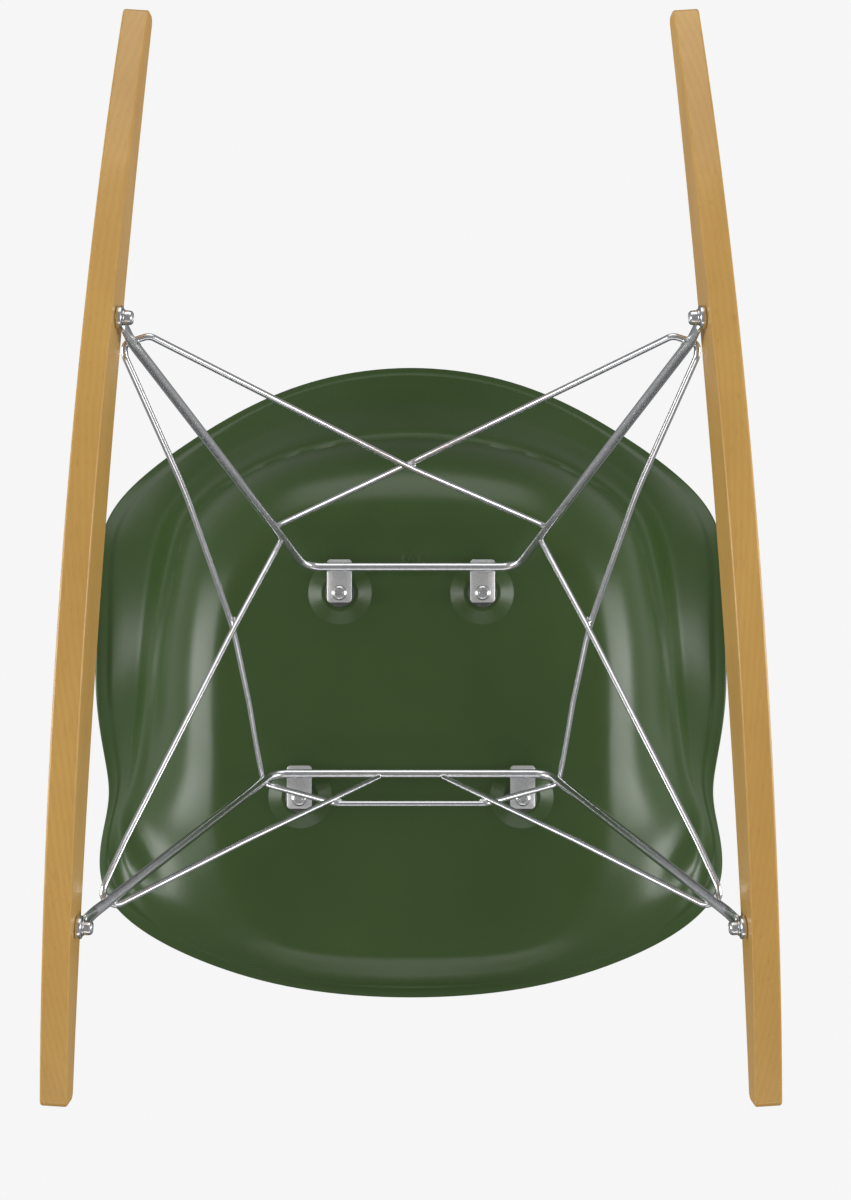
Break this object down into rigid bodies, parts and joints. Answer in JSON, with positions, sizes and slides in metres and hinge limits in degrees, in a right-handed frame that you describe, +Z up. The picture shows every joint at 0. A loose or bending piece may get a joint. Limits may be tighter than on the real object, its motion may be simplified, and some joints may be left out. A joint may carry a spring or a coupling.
{
  "type": "rocking chair",
  "caption": "Rocking armchair: a one-piece moulded shell on a welded cradle of bent rods and thin wires, screwed to two curved wooden rockers.",
  "frame": {"origin": "on the floor under the lowest point of the rockers, in the middle of the rockers' length and width", "axes": "+Z up, -Y towards the front of the chair, +X towards the sitter's left hand"},
  "size_m": [0.6324, 0.8184, 0.7046],
  "materials": {
    "shell_plastic": "satin moulded plastic, forest green",
    "rocker_wood": "clear lacquered light hardwood",
    "bright_plating": "bright plated steel rod and wire",
    "plate_steel": "satin plated steel plate",
    "screw_steel": "plated steel fasteners",
    "pad_rubber": "black moulded rubber",
    "insert_brass": "turned brass sleeve"
  },
  "bodies": {
    "root": {"seat_shell": "shell_plastic", "rocker_left": "rocker_wood", "rocker_right": "rocker_wood", "front_leg_rod": "bright_plating", "rear_leg_rod": "bright_plating", "cradle_wire": "bright_plating", "brace_wire_left": "bright_plating", "brace_wire_right": "bright_plating", "mount_screws": "screw_steel", "rocker_screws": "screw_steel", "rocker_washers": "screw_steel", "rocker_sleeves": "insert_brass", "shell_inserts": "insert_brass", "front_left_eyelet": "bright_plating", "front_left_mount_plate": "plate_steel", "front_left_pad": "pad_rubber", "front_right_eyelet": "bright_plating", "front_right_mount_plate": "plate_steel", "front_right_pad": "pad_rubber", "rear_left_eyelet": "bright_plating", "rear_left_mount_plate": "plate_steel", "rear_left_pad": "pad_rubber", "rear_right_eyelet": "bright_plating", "rear_right_mount_plate": "plate_steel", "rear_right_pad": "pad_rubber"}
  },
  "joints": []
}
